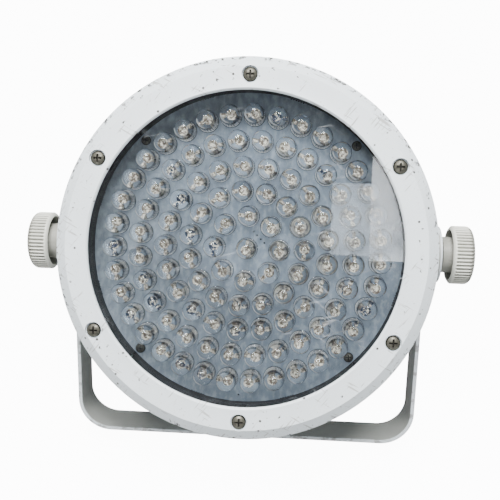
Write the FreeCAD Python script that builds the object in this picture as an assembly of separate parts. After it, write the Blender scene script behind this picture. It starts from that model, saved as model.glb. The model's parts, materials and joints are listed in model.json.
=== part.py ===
import FreeCAD, Part
import math
import os
from FreeCAD import Placement, Rotation, Vector

os.makedirs("parts", exist_ok=True)

# A flat LED par light that stands on its own two folding yokes. Millimetres, +Z up, lamp facing -Y.
# The head is drawn upright first: X to the right, Y from the front face towards the back, Z up,
# with the lamp's axis along Y. It is then tipped back about the knob axis onto the two yokes.

# Front ring
bezel_radius = 90.0
bezel_depth = 10.0
bezel_facet_radius = 78.6
bezel_facet_drop = 0.4
bezel_flat_radius = 84.7
bezel_chamfer_depth = 4.6
bezel_seat_radius = 78.3
opening_radius = 74.0
opening_chamfer = 0.8
lip_depth = 2.0
bezel_screw_circle = 81.0
bezel_screw_angles = [30 + 60 * turn for turn in range(6)]
screw_head_radius = 3.4
screw_recess_radius = 3.95
screw_recess_depth = 1.9
screw_shank_radius = 1.5
bezel_screw_length = 20.0

# Window, gasket and the black carrier that holds the LED board
window_radius = 78.0
window_front = 2.0
window_back = 5.0
gasket_inner_radius = 75.4
gasket_back = 6.4
carrier_inner_radius = 76.0
carrier_outer_radius = 77.4
carrier_ledge_radius = 69.5
carrier_back = 23.2
carrier_slot_width = 0.8
carrier_notch_width = 5.0

# LED board and LEDs
board_radius = 75.7
board_front = 20.0
board_back = 21.6
board_screw_circle = 72.6
board_screw_angles = [45 + 90 * turn for turn in range(4)]
board_screw_length = 12.0
tooth_count = 6
tooth_start = 14.6
tooth_pitch = 0.95
tooth_radius = 0.4
header_hole_radius = 0.5
test_hole_angle = -91.5
test_hole_radius = 0.6
led_flange_radius = 5.4
led_flange_height = 1.4
led_body_radius = 5.0
led_height = 13.2
led_rings = [(8, 15.8, -1.4), (15, 28.0, 0.0), (21, 39.7, 8.1), (28, 52.2, 6.2), (35, 64.6, 6.2)]
header_pitch = 2.54
header_distance = 8.0

# Rear housing
housing_radius = 83.6
housing_wall = 2.5
housing_back = 65.0
housing_chamfer = 12.0
bezel_post_radius = 3.4
bezel_post_end = 34.0
board_post_radius = 4.0
board_post_hole_end = 36.0
vent_size = (3.0, 22.0)
vent_pitch = 8
vent_reach = 32
vent_z = 49.0
side_vent_depths = (26.0, 46.0)
side_vent_half_width = 1.2
side_vent_angles = [angle for angle in range(67, 114, 6) if abs(angle - 90) > 4]
pad_start = 77.6
pad_radius = 14.0
pad_face = 84.6
boss_end = 82.6
rubber_radius = 11.0
rubber_face = 85.3
insert_start = 68.0
insert_radius = 6.5
insert_wall = 2.0
stud_radius = 4.0
thread_gap = 0.05

# Rear panel, seen from behind
small_screw_radius = 1.25
screw_clearance_radius = 1.6
panel_half_width = 62.0
panel_half_height = 34.0
panel_face = 66.5
panel_corner = 5.0
cutout_half_width = 56.0
cutout_half_height = 28.5
panel_screw_x = 58.5
panel_screw_z = 30.5
row_z = 19.0
display_x = -36.0
display_size = (29.6, 13.6)
button_x = [-8.0, 4.0, 16.0, 28.0]
button_radius = 3.2
button_gap = 0.35
button_start = 62.9
button_face = 68.6
socket_z = -14.0
signal_in_x = -42.0
signal_out_x = -13.5
socket_flange = (26.0, 31.0)
socket_face = 68.5
socket_end = 46.0
socket_floor = 50.0
barrel_radius = 11.8
socket_cavity_radius = 9.6
contact_circle = 3.6
contact_radius = 1.2
contact_tip = 62.0
latch_half_width = 3.4
latch_room = (-4.6, 0.8)
latch_notch = (-2.0, 0.8)
latch_z = (-1.6, 0.4)
inlet_x = 29.0
inlet_z = -17.0
inlet_flange = (50.0, 22.5)
inlet_body = (27.4, 20.0)
inlet_cavity = (24.4, 16.4)
inlet_face = 68.7
inlet_screw_reach = 20.0
blade_tip = 61.0
fuse_x = 46.0
fuse_z = 9.0
fuse_barrel_radius = 6.1
eye_z = 51.0
eye_base_face = 67.5
eye_tip_radius = 8.0
eye_half_thickness = 1.25
eye_screw_reach = 5.4
eye_hole_radius = 5.2
eye_hole_depth = 76.0

# Boards inside the head
power_front = 32.0
power_back = 33.6
power_half_width = 36.0
power_low = 30.0
power_high = 68.0
control_front = 56.0
control_back = 57.6
control_left = -54.0
control_right = 36.0
control_low = 9.5
control_high = 28.0

# Yokes, knobs and how the lamp stands
pivot_depth = 33.0
strip_width = 20.0
strip_thickness = 2.0
ear_radius = 14.0
ear_hole_radius = 4.35
clamp_hole_radius = 5.25
bend_radius = 17.0
inner_face = 87.6
inner_reach = 100.0
outer_face = 94.5
outer_reach = 106.0
inner_swing = 11.0
outer_swing = 90.0
washer_start = 94.8
washer_thickness = 0.8
hub_start = 95.9
hub_radius = 9.0
knob_radius = 14.5
knob_start = 99.8
knob_end = 110.4
rib_count = 50
groove_radius = 0.55
groove_offset = 2.2
cavity_floor = 106.4
stud_start = 71.0
stud_end = 105.4

X_AXIS = Vector(1, 0, 0)
Y_AXIS = Vector(0, 1, 0)
Z_AXIS = Vector(0, 0, 1)
ORIGIN = Vector(0, 0, 0)


def polar(radius, degrees):
    """X and Z of a point on a circle about the lamp's axis, counted anticlockwise from the front."""
    angle = math.radians(degrees)
    return radius * math.cos(angle), radius * math.sin(angle)


def rod(x, z, radius, start, end):
    """Cylinder along the lamp's axis."""
    return Part.makeCylinder(radius, end - start, Vector(x, start, z), Y_AXIS)


def axle(radius, start, end):
    """Cylinder along the knob axis."""
    return Part.makeCylinder(radius, end - start, Vector(start, 0, 0), X_AXIS)


def ring(inner, outer, start, end):
    return rod(0, 0, outer, start, end).cut(rod(0, 0, inner, start, end))


def block(x_range, y_range, z_range):
    corner = Vector(x_range[0], y_range[0], z_range[0])
    return Part.makeBox(x_range[1] - x_range[0], y_range[1] - y_range[0], z_range[1] - z_range[0], corner)


def centred(x, z, size, start, end, corner=0.0):
    """Block of a given width and height about (x, z), with rounded corners if asked."""
    half_w = size[0] / 2
    half_h = size[1] / 2
    body = block((x - half_w, x + half_w), (start, end), (z - half_h, z + half_h))
    if corner:
        upright = [e for e in body.Edges if abs(e.Vertexes[0].Y - e.Vertexes[1].Y) > 0.5 * (end - start)]
        body = body.makeFillet(corner, upright)
    return body


def spun(points, axis):
    """Solid of revolution. Points are (radius, depth); an arc is (middle point, end point)."""
    def place(pair):
        if axis is Y_AXIS:
            return Vector(pair[0], pair[1], 0)
        return Vector(pair[1], pair[0], 0)

    edges = []
    here = place(points[0])
    for step in points[1:] + [points[0]]:
        if isinstance(step[0], tuple):
            there = place(step[1])
            edges.append(Part.Arc(here, place(step[0]), there).toShape())
        else:
            there = place(step)
            edges.append(Part.LineSegment(here, there).toShape())
        here = there
    return Part.Face(Part.Wire(edges)).revolve(ORIGIN, axis, 360)


def group(solids):
    return Part.makeCompound(solids)


def joined(first, others):
    return first.fuse(others).removeSplitter()


def mirrored_pair(shape):
    return group([shape, shape.mirror(ORIGIN, X_AXIS)])


def cross_screw(head_radius, head_height, shank_radius, length, x, z, seat, way):
    """Pan head screw with a cross recess. The head stands on depth `seat`; way is +1 if it faces back."""
    crown = 0.35 * head_height
    shell = [
        (0, 0),
        (head_radius, 0),
        (head_radius, head_height - 2 * crown),
        ((0.72 * head_radius, head_height - 0.6 * crown), (0, head_height)),
    ]
    screw = spun(shell, Y_AXIS)
    recess = 1.15 * head_radius
    for size in ((recess, 0.26 * head_radius), (0.26 * head_radius, recess)):
        screw = screw.cut(centred(0, 0, size, 0.45 * head_height, 2 * head_height))
    screw = screw.fuse(rod(0, 0, shank_radius, -length, 0)).removeSplitter()
    if way < 0:
        screw.rotate(ORIGIN, X_AXIS, 180)
    screw.translate(Vector(x, seat, z))
    return screw


# ---------------------------------------------------------------- head, front

def front_bezel():
    flank = bezel_radius - bezel_flat_radius
    outline = [
        (bezel_seat_radius, bezel_depth),
        (bezel_seat_radius, lip_depth),
        (opening_radius, lip_depth),
        (opening_radius, opening_chamfer),
        (opening_radius + opening_chamfer, 0),
        (bezel_facet_radius, bezel_facet_drop),
        (bezel_flat_radius, bezel_facet_drop),
        (bezel_flat_radius + flank, bezel_chamfer_depth),
        (bezel_radius, bezel_depth - opening_chamfer),
        (bezel_radius - opening_chamfer, bezel_depth),
    ]
    body = spun(outline, Y_AXIS)
    for degrees in bezel_screw_angles:
        x, z = polar(bezel_screw_circle, degrees)
        body = body.cut(rod(x, z, screw_recess_radius, -1, screw_recess_depth))
        body = body.cut(rod(x, z, screw_shank_radius + 0.2, -1, bezel_depth + 1))
    return body


def bezel_screws():
    screws = []
    for degrees in bezel_screw_angles:
        x, z = polar(bezel_screw_circle, degrees)
        screws.append(cross_screw(screw_head_radius, 1.6, screw_shank_radius, bezel_screw_length,
                                  x, z, screw_recess_depth, -1))
    return group(screws)


def front_window():
    return rod(0, 0, window_radius, window_front, window_back)


def window_gasket():
    return ring(gasket_inner_radius, window_radius, window_back, gasket_back)


def board_carrier():
    wall = ring(carrier_inner_radius, carrier_outer_radius, gasket_back, carrier_back)
    ledge = ring(carrier_ledge_radius, carrier_outer_radius, board_back, carrier_back)
    body = joined(wall, [ledge])
    reach = carrier_outer_radius + 5
    for degrees in board_screw_angles:
        slot = block((carrier_ledge_radius, reach), (gasket_back - 1, board_front - 1),
                     (-carrier_slot_width / 2, carrier_slot_width / 2))
        slot.rotate(ORIGIN, Y_AXIS, -degrees)
        body = body.cut(slot)
        x, z = polar(board_screw_circle, degrees)
        body = body.cut(rod(x, z, screw_shank_radius, board_back - 1, carrier_back + 1))
    for degrees in bezel_screw_angles:
        notch = block((carrier_ledge_radius, reach), (gasket_back - 1, 15.0),
                      (-carrier_notch_width / 2, carrier_notch_width / 2))
        notch.rotate(ORIGIN, Y_AXIS, -degrees)
        body = body.cut(notch)
    return body


def led_board():
    body = rod(0, 0, board_radius, board_front, board_back)
    holes = []
    for degrees in board_screw_angles:
        x, z = polar(board_screw_circle, degrees)
        holes.append(rod(x, z, screw_shank_radius, board_front - 1, board_back + 1))
    for quarter in range(4):
        for side in (-1, 1):
            for tooth in range(tooth_count):
                degrees = 90 * quarter + side * (tooth_start + tooth_pitch * tooth)
                x, z = polar(board_radius, degrees)
                holes.append(rod(x, z, tooth_radius, board_front - 1, board_back + 1))
    middle_x, middle_z = polar(header_distance, 45)
    for pin in range(4):
        along = (pin - 1.5) * header_pitch / math.sqrt(2)
        x = middle_x + along
        z = middle_z - along
        holes.append(rod(x, z, header_hole_radius, board_front - 1, board_back + 1))
    x, z = polar(board_screw_circle, test_hole_angle)
    holes.append(rod(x, z, test_hole_radius, board_front - 1, board_back + 1))
    return body.cut(holes)


def led():
    """One clear 10 mm LED with its flange on the board, at the board's centre."""
    flange = board_front - led_flange_height
    dome = board_front - led_height + led_body_radius
    slant = led_body_radius * math.sqrt(0.5)
    return spun([
        (0, board_front),
        (led_flange_radius, board_front),
        (led_flange_radius, flange),
        (led_body_radius, flange),
        (led_body_radius, dome),
        ((slant, dome - slant), (0, dome - led_body_radius)),
    ], Y_AXIS)


def led_ring(count, radius, first):
    solids = []
    for place in range(count):
        x, z = polar(radius, first + 360 * place / count)
        solids.append(led().translated(Vector(x, 0, z)))
    return group(solids)


def board_screws():
    screws = []
    for degrees in board_screw_angles:
        x, z = polar(board_screw_circle, degrees)
        screws.append(cross_screw(2.4, 1.9, screw_shank_radius, board_screw_length, x, z,
                                  board_front, -1))
    return group(screws)


# ---------------------------------------------------------------- head, housing

def rear_housing():
    outer_back = housing_radius - housing_chamfer
    inner_radius = housing_radius - housing_wall
    inner_back = housing_back - housing_wall
    inner_turn = housing_back - housing_chamfer - 1
    shell = spun([
        (inner_radius, bezel_depth),
        (housing_radius, bezel_depth),
        (housing_radius, housing_back - housing_chamfer),
        (outer_back, housing_back),
        (0, housing_back),
        (0, inner_back),
        (outer_back - 1, inner_back),
        (inner_radius, inner_turn),
    ], Y_AXIS)
    whole = spun([
        (0, bezel_depth),
        (housing_radius, bezel_depth),
        (housing_radius, housing_back - housing_chamfer),
        (outer_back, housing_back),
        (0, housing_back),
    ], Y_AXIS)
    posts = []
    holes = []
    for degrees in bezel_screw_angles:
        x, z = polar(bezel_screw_circle, degrees)
        posts.append(rod(x, z, bezel_post_radius, bezel_depth, bezel_post_end))
        holes.append(rod(x, z, screw_shank_radius, bezel_depth - 1, bezel_post_end - 2))
    for degrees in board_screw_angles:
        x, z = polar(board_screw_circle, degrees)
        posts.append(rod(x, z, board_post_radius, carrier_back, housing_back).common(whole))
        holes.append(rod(x, z, screw_shank_radius, carrier_back - 1, board_post_hole_end))
    for side in (-1, 1):
        pad = axle(pad_radius, pad_start, pad_face)
        boss = axle(insert_radius + insert_wall, insert_start, boss_end)
        bore = axle(insert_radius, insert_start - 1, pad_face + 1)
        for shape in (pad, boss, bore):
            shape.translate(Vector(0, pivot_depth, 0))
            if side < 0:
                shape.rotate(ORIGIN, Y_AXIS, 180)
        posts.append(pad.cut(rod(0, 0, inner_radius, 0, housing_back)))
        posts.append(boss)
        holes.append(bore)
    body = joined(shell, posts)
    wall = (inner_back - 1, housing_back + 1)
    holes.append(centred(0, 0, (2 * cutout_half_width, 2 * cutout_half_height), *wall, 3.0))
    for x in range(-vent_reach, vent_reach + 1, vent_pitch):
        holes.append(centred(x, -vent_z, vent_size, *wall, 1.4))
        if abs(x) > 12:
            holes.append(centred(x, vent_z, vent_size, *wall, 1.4))
    for degrees in side_vent_angles:
        for turn in (0, 180):
            slot = block((inner_radius - 2, housing_radius + 2), side_vent_depths,
                         (-side_vent_half_width, side_vent_half_width))
            slot.rotate(ORIGIN, Y_AXIS, -degrees - turn)
            holes.append(slot)
    for x in (-panel_screw_x, panel_screw_x):
        for z in (-panel_screw_z, panel_screw_z):
            holes.append(rod(x, z, small_screw_radius, *wall))
    for x in (-eye_screw_reach, eye_screw_reach):
        holes.append(rod(x, eye_z, small_screw_radius, *wall))
    return body.cut(holes)


def pivot_inserts():
    insert = axle(insert_radius, insert_start, pad_face)
    insert = insert.cut(axle(stud_radius + thread_gap, insert_start, pad_face))
    return mirrored_pair(insert)


def pivot_pads():
    pad = axle(rubber_radius, pad_face, rubber_face)
    return mirrored_pair(pad.cut(axle(ear_hole_radius, pad_face, rubber_face)))


def safety_eye():
    half = eye_half_thickness
    base = centred(0, eye_z, (16, 14), housing_back, eye_base_face, 2.0)
    tab = block((-half, half), (housing_back, eye_hole_depth),
                (eye_z - eye_tip_radius, eye_z + eye_tip_radius))
    tip = Part.makeCylinder(eye_tip_radius, 2 * half, Vector(-half, eye_hole_depth, eye_z), X_AXIS)
    hole = Part.makeCylinder(eye_hole_radius, 4, Vector(-2, eye_hole_depth, eye_z), X_AXIS)
    tab = tab.fuse(tip).removeSplitter().cut(hole)
    body = joined(base, [tab])
    for x in (-eye_screw_reach, eye_screw_reach):
        body = body.cut(rod(x, eye_z, small_screw_radius + 0.25, housing_back - 1, eye_base_face + 1))
    return body


def eye_screws():
    return group([cross_screw(2.3, 1.5, small_screw_radius, 7, x, eye_z, eye_base_face, 1)
                  for x in (-eye_screw_reach, eye_screw_reach)])


# ---------------------------------------------------------------- head, inside

def power_board():
    return block((-power_half_width, power_half_width), (power_front, power_back), (power_low, power_high))


def control_board():
    return block((control_left, control_right), (control_front, control_back), (control_low, control_high))


def board_spacers():
    spacers = []
    for x in (-power_half_width + 3.5, power_half_width - 3.5):
        for z in (power_low + 3.5, 59.0):
            spacers.append(rod(x, z, 2.5, power_back, housing_back - housing_wall))
    for x in (control_left + 1, control_right - 2):
        for z in (control_low + 1.5, control_high - 1.5):
            spacers.append(rod(x, z, 1.4, control_back, housing_back))
    return group(spacers)


def transformer():
    core = centred(-14, 50, (30, 12), power_back, 56, 1.0)
    legs = centred(-14, 50, (34, 8), power_back + 4, 52, 0.5)
    coil = centred(-14, 50, (22, 24), power_back + 5, 51, 5.0)
    return joined(core, [legs, coil])


def mains_capacitor():
    return centred(-10, 34.5, (22, 7), power_back, 49, 1.0)


def bulk_capacitors():
    return group([
        rod(14, 42, 8.0, power_back, 54),
        rod(14, 59, 5.0, power_back, 50),
        rod(24.2, 59, 5.0, power_back, 50),
    ])


def heat_sink():
    base = block((24.0, 26.0), (power_back, 54), (34, 52))
    fins = [block((26.0, 34.0), (power_back + 6, 54), (z, z + 1.2)) for z in (38.4, 42.4, 46.4, 50.4)]
    return joined(base, fins)


def driver_transistors():
    places = [-46.0, -40.0, 16.0, 22.0, 28.0]
    return group([centred(x, 22.5, (4.5, 6.5), control_front - 2.4, control_front) for x in places])


def display_module():
    return centred(display_x, row_z, (30, 14), control_back, 64.4)


def display_window():
    return centred(display_x, row_z, display_size, housing_back, 66.9, 1.0)


def tact_switches():
    switches = []
    for x in button_x:
        body = centred(x, row_z, (6, 6), control_back, 61.2)
        switches.append(body.fuse(rod(x, row_z, 1.7, 61.2, 61.8)).removeSplitter())
    return group(switches)


def led_ribbon():
    """Flat ribbon from the LED board's header back to the control board, in two quarter bends."""
    width = 10.0
    thick = 1.2
    bend = 8.0
    left = 0.7
    low = 5.7

    def quarter(middle_y, middle_z, corner_y, corner_z):
        ring_part = Part.makeCylinder(bend + thick / 2, width, Vector(left, middle_y, middle_z), X_AXIS)
        ring_part = ring_part.cut(
            Part.makeCylinder(bend - thick / 2, width, Vector(left, middle_y, middle_z), X_AXIS))
        y_pair = sorted((middle_y, middle_y + corner_y * 10))
        z_pair = sorted((middle_z, middle_z + corner_z * 10))
        return ring_part.common(block((left, left + width), y_pair, z_pair))

    turn_y = control_front - 2 * bend
    run = block((left, left + width), (board_back, turn_y), (low - thick / 2, low + thick / 2))
    first = quarter(turn_y, low + bend, 1, -1)
    second = quarter(control_front, low + bend, -1, 1)
    return joined(run, [first, second])


# ---------------------------------------------------------------- head, rear panel

def rear_panel():
    size = (2 * panel_half_width, 2 * panel_half_height)
    body = centred(0, 0, size, housing_back, panel_face, panel_corner)
    wall = (housing_back - 1, panel_face + 1)
    holes = [centred(display_x, row_z, (display_size[0] + 0.2, display_size[1] + 0.2), *wall, 1.0)]
    holes += [rod(x, row_z, button_radius + button_gap, *wall) for x in button_x]
    holes += [rod(x, socket_z, barrel_radius, *wall) for x in (signal_in_x, signal_out_x)]
    holes.append(latch_slot(latch_room))
    holes.append(centred(inlet_x, inlet_z, inlet_body, *wall))
    holes.append(rod(fuse_x, fuse_z, fuse_barrel_radius, *wall))
    holes += [rod(x, inlet_z, screw_clearance_radius, *wall) for x in inlet_screw_places()]
    for socket_x in (signal_in_x, signal_out_x):
        holes += [rod(x, z, screw_clearance_radius, *wall) for x, z in socket_screw_places(socket_x)]
    for x in (-panel_screw_x, panel_screw_x):
        for z in (-panel_screw_z, panel_screw_z):
            holes.append(rod(x, z, screw_clearance_radius, *wall))
    return body.cut(holes)


def panel_screws():
    return group([cross_screw(2.6, 1.8, small_screw_radius, 8, x, z, panel_face, 1)
                  for x in (-panel_screw_x, panel_screw_x) for z in (-panel_screw_z, panel_screw_z)])


def menu_button(x):
    cap = rod(x, row_z, button_radius, button_start, button_face)
    rim = [edge for edge in cap.Edges if edge.BoundBox.YMin > button_face - 0.5]
    return cap.makeFillet(0.6, rim)


def socket_screw_places(x):
    return [(x - 9.5, socket_z + 12), (x + 9.5, socket_z - 12)]


def socket_shell(x):
    """Panel connector shell with an open round cavity."""
    flange = centred(x, socket_z, socket_flange, panel_face, socket_face, 3.0)
    body = joined(flange, [rod(x, socket_z, barrel_radius, socket_end, socket_face)])
    body = body.cut(rod(x, socket_z, socket_cavity_radius, socket_floor, socket_face + 1))
    for screw_x, screw_z in socket_screw_places(x):
        body = body.cut(rod(screw_x, screw_z, screw_clearance_radius, panel_face - 1, socket_face + 1))
    return body


def signal_in_socket():
    shell = socket_shell(signal_in_x)
    return shell.cut(contact_rods(signal_in_x, contact_radius, socket_end - 6, contact_tip))


def contact_rods(x, radius, start, end):
    places = [polar(contact_circle, degrees) for degrees in (30, 150, 270)]
    return [rod(x + across, socket_z + up, radius, start, end) for across, up in places]


def signal_in_pins():
    pins = contact_rods(signal_in_x, contact_radius, socket_end - 4, contact_tip)
    return group([pin.makeFillet(0.5, [pin.Edges[0]]) for pin in pins])


def latch_slot(z_range):
    half = latch_half_width + 0.4
    return block((signal_out_x - half, signal_out_x + half), (housing_back - 5, socket_face + 1.5), z_range)


def signal_out_socket():
    return socket_shell(signal_out_x).cut(latch_slot(latch_notch))


def signal_out_insert():
    insert = rod(signal_out_x, socket_z, 7.4, socket_floor, socket_face - 1)
    return insert.cut(contact_rods(signal_out_x, contact_radius + 0.3, socket_floor + 4, socket_face))


def signal_out_latch():
    half = latch_half_width
    return block((signal_out_x - half, signal_out_x + half), (contact_tip, socket_face + 2.5), latch_z)


def socket_screws():
    screws = []
    for socket_x in (signal_in_x, signal_out_x):
        for x, z in socket_screw_places(socket_x):
            screws.append(cross_screw(2.5, 1.6, screw_clearance_radius, 8, x, z, socket_face, 1))
    return group(screws)


def inlet_screw_places():
    return (inlet_x - inlet_screw_reach, inlet_x + inlet_screw_reach)


def power_inlet():
    flange = centred(inlet_x, inlet_z, inlet_flange, panel_face, inlet_face, 4.0)
    body = joined(flange, [centred(inlet_x, inlet_z, inlet_body, socket_end, inlet_face)])
    cavity = centred(inlet_x, inlet_z, inlet_cavity, socket_floor, inlet_face + 1)
    sloped = [e for e in cavity.Edges
              if abs(e.Vertexes[0].Y - e.Vertexes[1].Y) > 5 and e.BoundBox.ZMin > inlet_z]
    body = body.cut(cavity.makeChamfer(4.5, sloped))
    for x in inlet_screw_places():
        body = body.cut(rod(x, inlet_z, screw_clearance_radius, panel_face - 1, inlet_face + 1))
    return body.cut(inlet_blades(socket_end - 6, blade_tip))


def inlet_blades(start, end):
    places = [(-7.0, -1.0), (0.0, 3.0), (7.0, -1.0)]
    return [centred(inlet_x + across, inlet_z + up, (2.0, 4.0), start, end) for across, up in places]


def inlet_pins():
    return group(inlet_blades(socket_end - 4, blade_tip))


def inlet_screws():
    return group([cross_screw(2.7, 1.7, screw_clearance_radius, 8, x, inlet_z, inlet_face, 1)
                  for x in inlet_screw_places()])


def fuse_holder():
    rim_face = panel_face + 1.7
    barrel = rod(fuse_x, fuse_z, fuse_barrel_radius, 39, rim_face)
    body = joined(rod(fuse_x, fuse_z, 8.0, panel_face, rim_face), [barrel])
    return body.cut(rod(fuse_x, fuse_z, 4.8, 41, rim_face + 1))


def fuse():
    return rod(fuse_x, fuse_z, 2.5, 41, 61)


def fuse_cap():
    cap = joined(rod(fuse_x, fuse_z, 4.4, 61.5, 71.4), [rod(fuse_x, fuse_z, 6.4, 68.6, 71.4)])
    return cap.cut(centred(fuse_x, fuse_z, (9, 1.3), 70.2, 72))


# ---------------------------------------------------------------- yokes and knobs

def yoke(face, reach):
    """Flat bar bent to a U, legs down from the knob axis, with round ears and a clamp bolt hole."""
    def bar(offset, top):
        half = face - offset
        low = reach - offset
        radius = bend_radius - offset
        body = block((-half, half), (-ear_radius, ear_radius), (-low, top))
        corners = [e for e in body.Edges
                   if abs(e.BoundBox.ZMax + low) < 0.01 and e.BoundBox.YLength > ear_radius]
        return body.makeFillet(radius, corners)

    body = bar(0, ear_radius).cut(bar(strip_thickness, ear_radius + 5))
    half_strip = strip_width / 2
    side_view = joined(
        axle(ear_radius, -face - 1, face + 1),
        [block((-face - 1, face + 1), (-half_strip, half_strip), (-reach - 1, 0))])
    body = body.common(side_view)
    body = body.cut(axle(ear_hole_radius, -face - 1, face + 1))
    return body.cut(Part.makeCylinder(clamp_hole_radius, 20, Vector(0, 0, -reach - 10)))


def ear_spacers():
    start = inner_face
    end = outer_face - strip_thickness - 0.3
    return mirrored_pair(axle(10.0, start, end).cut(axle(ear_hole_radius, start, end)))


def knob():
    """Clamp knob on the +X side: a hub, a ribbed rim round an open cavity, and a dished end."""
    edge = 3.0
    turn = edge * (1 - math.sqrt(0.5))
    body = spun([
        (0, stud_end),
        (stud_radius, stud_end),
        (stud_radius, hub_start),
        (hub_radius, hub_start),
        (hub_radius - 0.4, cavity_floor),
        (12.2, cavity_floor),
        (12.4, knob_start + 1.0),
        (13.1, knob_start),
        (13.7, knob_start),
        ((knob_radius - 0.25, knob_start + 0.55), (knob_radius, knob_start + 1.3)),
        (knob_radius, knob_end - edge),
        ((knob_radius - turn, knob_end - turn), (knob_radius - edge, knob_end)),
        (9.0, knob_end),
        (8.2, knob_end - 0.8),
        (0, knob_end - 0.8),
    ], X_AXIS)
    grooves = []
    for rib in range(rib_count):
        across, up = polar(knob_radius + 0.1, 360 * rib / rib_count)
        start = Vector(knob_start + groove_offset, across, up)
        grooves.append(Part.makeCylinder(groove_radius, knob_end, start, X_AXIS))
    return body.cut(grooves)


def other_side(shape):
    """The same piece on the -X side, turned half way round the upright axis."""
    copy = shape.copy()
    copy.rotate(ORIGIN, Z_AXIS, 180)
    return copy


def knob_washer():
    end = washer_start + washer_thickness
    return axle(8.4, washer_start, end).cut(axle(stud_radius + 0.3, washer_start, end))


def knob_stud():
    return axle(stud_radius, stud_start, stud_end)


# ---------------------------------------------------------------- standing pose

def foot_height(reach, lean):
    """How far the lowest edge of a yoke's foot is below the knob axis."""
    angle = math.radians(lean)
    return reach * math.cos(angle) + strip_width / 2 * math.sin(angle)


def standing_lean():
    """Forward lean of the inner yoke at which both yokes' feet are on the floor."""
    spread = outer_swing - inner_swing
    low = 0.0
    high = spread
    for _ in range(60):
        middle = (low + high) / 2
        if foot_height(inner_reach, middle) > foot_height(outer_reach, spread - middle):
            low = middle
        else:
            high = middle
    return (low + high) / 2


inner_lean = standing_lean()
head_tilt = inner_lean + inner_swing
pivot_height = foot_height(inner_reach, inner_lean)


def tipped(lean, depth=0.0):
    """Placement that leans a piece forward about the knob axis, which lies at the given depth."""
    turn = Placement(ORIGIN, Rotation(X_AXIS, -lean))
    return Placement(Vector(0, 0, pivot_height), Rotation()) * turn * Placement(
        Vector(0, -depth, 0), Rotation())


head_pieces = {
    "front_bezel": front_bezel(),
    "bezel_screws": bezel_screws(),
    "front_window": front_window(),
    "window_gasket": window_gasket(),
    "board_carrier": board_carrier(),
    "led_board": led_board(),
    "led_centre": led(),
    "board_screws": board_screws(),
    "rear_housing": rear_housing(),
    "safety_eye": safety_eye(),
    "eye_screws": eye_screws(),
    "power_board": power_board(),
    "control_board": control_board(),
    "board_spacers": board_spacers(),
    "transformer": transformer(),
    "mains_capacitor": mains_capacitor(),
    "bulk_capacitors": bulk_capacitors(),
    "heat_sink": heat_sink(),
    "driver_transistors": driver_transistors(),
    "display_module": display_module(),
    "display_window": display_window(),
    "tact_switches": tact_switches(),
    "led_ribbon": led_ribbon(),
    "rear_panel": rear_panel(),
    "panel_screws": panel_screws(),
    "signal_in_socket": signal_in_socket(),
    "signal_in_pins": signal_in_pins(),
    "signal_out_socket": signal_out_socket(),
    "signal_out_insert": signal_out_insert(),
    "signal_out_latch": signal_out_latch(),
    "socket_screws": socket_screws(),
    "power_inlet": power_inlet(),
    "inlet_pins": inlet_pins(),
    "inlet_screws": inlet_screws(),
    "fuse_holder": fuse_holder(),
    "fuse": fuse(),
    "fuse_cap": fuse_cap(),
}
for number, (count, radius, first) in enumerate(led_rings, 1):
    head_pieces["led_ring_%d" % number] = led_ring(count, radius, first)
for number, x in enumerate(button_x, 1):
    head_pieces["menu_button_%d" % number] = menu_button(x)

right_knob = knob()
placed = {
    "pivot_inserts": (pivot_inserts(), tipped(head_tilt)),
    "pivot_pads": (pivot_pads(), tipped(head_tilt)),
    "inner_yoke": (yoke(inner_face, inner_reach), tipped(inner_lean)),
    "ear_spacers": (ear_spacers(), tipped(inner_lean)),
    "outer_yoke": (yoke(outer_face, outer_reach), tipped(head_tilt - outer_swing)),
    "right_knob": (right_knob, tipped(0)),
    "left_knob": (other_side(right_knob), tipped(0)),
    "right_knob_stud": (knob_stud(), tipped(0)),
    "left_knob_stud": (other_side(knob_stud()), tipped(0)),
    "right_knob_washer": (knob_washer(), tipped(0)),
    "left_knob_washer": (other_side(knob_washer()), tipped(0)),
}
for name, shape in head_pieces.items():
    placed[name] = (shape, tipped(head_tilt, pivot_depth))

pieces = {}
for name, (shape, placement) in placed.items():
    piece = shape.copy()
    piece.Placement = placement * piece.Placement
    pieces[name] = piece

# The origin is on the floor, under the middle of the whole object's box.
outer_box = Part.makeCompound(list(pieces.values())).optimalBoundingBox(False, False)
shift = Vector(0, -(outer_box.YMin + outer_box.YMax) / 2, 0)
for name, piece in sorted(pieces.items()):
    piece.translate(shift)
    piece.exportStep("parts/%s.step" % name)
    if not piece.isValid():
        print("not valid:", name)

print("inner lean %.3f, head tilt %.3f" % (inner_lean, head_tilt))
print("knob axis at y %.4f, z %.4f" % (shift.y, pivot_height))
print("box %.3f x %.3f x %.3f, lowest %.4f" % (
    outer_box.XLength, outer_box.YLength, outer_box.ZLength, outer_box.ZMin))
print(len(pieces), "pieces")
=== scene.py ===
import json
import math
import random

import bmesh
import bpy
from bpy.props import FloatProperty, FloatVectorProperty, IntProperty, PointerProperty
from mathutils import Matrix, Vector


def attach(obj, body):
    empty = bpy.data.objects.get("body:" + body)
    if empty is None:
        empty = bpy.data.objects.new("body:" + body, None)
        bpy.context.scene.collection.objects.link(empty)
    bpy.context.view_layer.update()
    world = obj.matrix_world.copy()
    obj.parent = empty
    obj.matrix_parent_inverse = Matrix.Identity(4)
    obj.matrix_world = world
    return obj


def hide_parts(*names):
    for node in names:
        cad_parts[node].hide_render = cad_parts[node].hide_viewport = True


bl_info = {
    "name": "Flat LED par light",
    "version": (1, 0, 0),
    "blender": (4, 5, 0),
    "location": "View3D > Sidebar > Par Light",
    "description": "Builds the visible pieces and finishes of a flat LED par light on its CAD frame",
    "category": "Object",
}

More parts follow.
